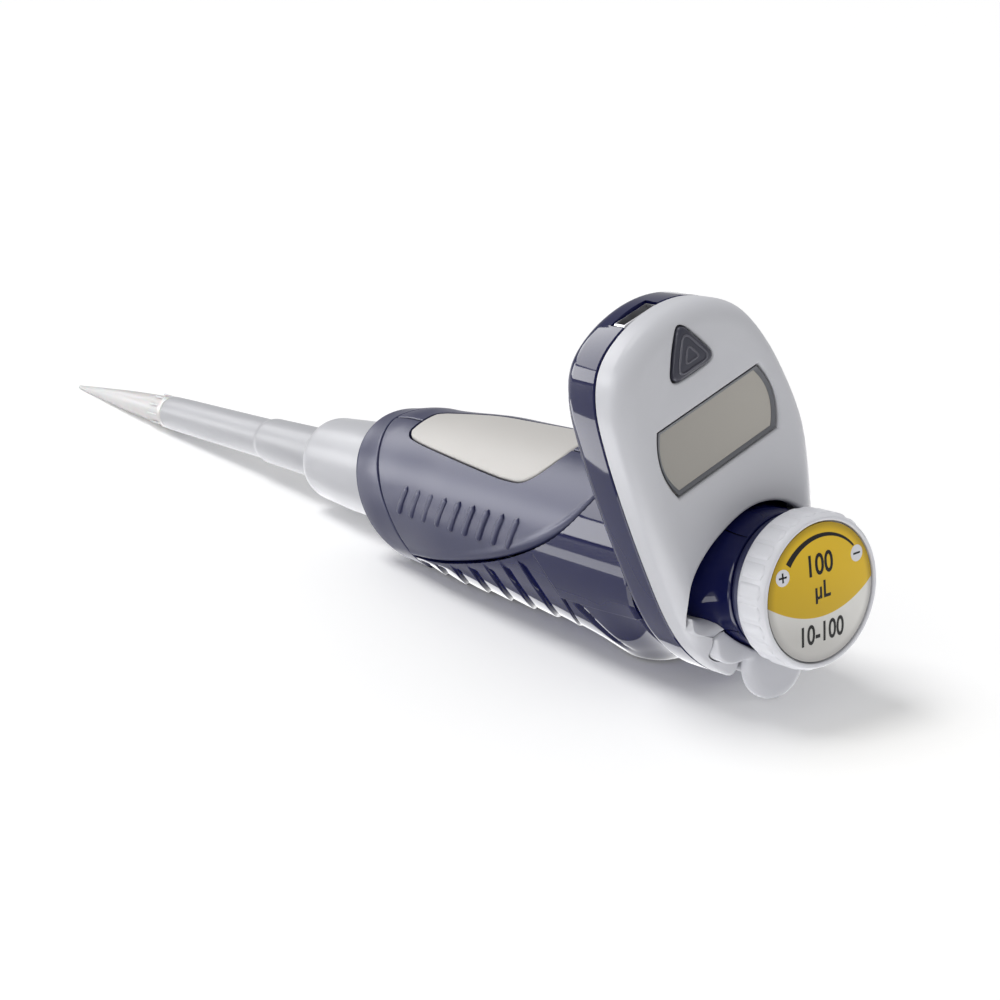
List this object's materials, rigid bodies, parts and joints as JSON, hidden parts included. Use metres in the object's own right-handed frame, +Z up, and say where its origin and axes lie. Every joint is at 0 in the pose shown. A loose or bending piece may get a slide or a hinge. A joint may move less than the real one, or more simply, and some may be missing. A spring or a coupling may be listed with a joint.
{
  "type": "electronic micropipette",
  "caption": "Electronic single-channel micropipette lying on its side, with a display head, turning knob, ejector and a fitted disposable tip.",
  "frame": {"origin": "Centre of the bounding box in X and Y, on the table in Z.", "axes": "+X runs along the pipette from the tip to the knob, +Y is the side away from the viewer, +Z is up from the table. The pipette is stored lying down, with its axis rising 4.7 degrees towards the knob and rolled 20 degrees about it."},
  "size_m": [0.2746, 0.0496, 0.0713],
  "materials": {
    "tip": "translucent moulded polypropylene",
    "white": "white moulded plastic",
    "seal": "white low-friction seal plastic",
    "rubber": "black rubber",
    "steel": "machined steel",
    "lavender": "off-white moulded plastic",
    "frame": "dark glass-filled plastic",
    "satin_blue": "dark blue satin plastic",
    "pad": "light warm grey soft rubber",
    "gloss_blue": "dark navy polished plastic",
    "brass": "machined brass",
    "lcd": "grey-beige clear window",
    "module": "dark moulded electronics housing",
    "board": "green glass-fibre board",
    "cell": "foil-wrapped battery cell",
    "slate": "dark slate plastic",
    "label": "domed clear-coated label, yellow and grey"
  },
  "bodies": {
    "pipette": {"tip_holder": "white", "piston_seal": "seal", "seal_o_ring": "rubber", "seal_retainer": "steel", "connecting_nut": "steel", "rod_guide": "frame", "ejector_spring": "steel", "handle_collar": "satin_blue", "grip_left": "satin_blue", "grip_right": "satin_blue", "front_pad": "pad", "lower_shell": "gloss_blue", "frame_tube": "frame", "motor_bracket": "steel", "drive_motor": "steel", "head_back_shell": "gloss_blue", "head_bezel": "white", "usb_socket": "steel", "display_window": "lcd", "display_module": "module", "main_board": "board", "battery_cell": "cell", "button_dome": "steel", "neck_shell": "gloss_blue", "knob_spring": "steel", "push_switch": "module", "switch_board": "board"},
    "ejector": {"ejector_sleeve": "lavender", "ejector_cap": "white", "ejector_rod": "steel", "ejector_button": "white"},
    "tip": {"pipette_tip": "tip"},
    "piston": {"piston_rod": "steel", "piston_carrier": "frame", "drive_nut": "brass"},
    "screw": {"lead_screw": "steel"},
    "button": {"select_button": "slate"},
    "spindle": {"push_spindle": "frame"},
    "knob": {"knob_ring": "white", "knob_label": "label"}
  },
  "joints": [
    {"name": "eject", "type": "slide", "parent": "pipette", "child": "ejector", "axis": [-0.9967, 0, -0.0816], "range_m": [0, 0.008], "stiffness_N_per_m": 400, "springref_m": -0.004, "deforming": ["ejector_spring"]},
    {"name": "tip_off", "type": "slide", "parent": "ejector", "child": "tip", "axis": [-0.9967, 0, -0.0816], "range_m": [0, 0.012]},
    {"name": "piston_stroke", "type": "slide", "parent": "pipette", "child": "piston", "axis": [0.9967, 0, 0.0816], "range_m": [0, 0.016]},
    {"name": "screw_turn", "type": "hinge", "parent": "pipette", "child": "screw", "pos_m": [0.04145, 0.00642, 0.01507], "axis": [-0.9967, 0, -0.0816], "range_deg": [0, 1440]},
    {"name": "select_press", "type": "slide", "parent": "pipette", "child": "button", "axis": [-0.9967, 0, -0.0816], "range_m": [0, 0.0007], "stiffness_N_per_m": 2000, "springref_m": -0.0003},
    {"name": "knob_push", "type": "slide", "parent": "pipette", "child": "spindle", "axis": [-0.9967, 0, -0.0816], "range_m": [0, 0.0025], "stiffness_N_per_m": 800, "springref_m": -0.0015, "deforming": ["knob_spring"]},
    {"name": "knob_turn", "type": "hinge", "parent": "spindle", "child": "knob", "pos_m": [0.12985, 0.00642, 0.02231], "axis": [0.9967, 0, 0.0816], "continuous": true}
  ],
  "couplings": [
    {"joint": "screw_turn", "follows": "piston_stroke", "rad_per_m": 1570.8}
  ]
}
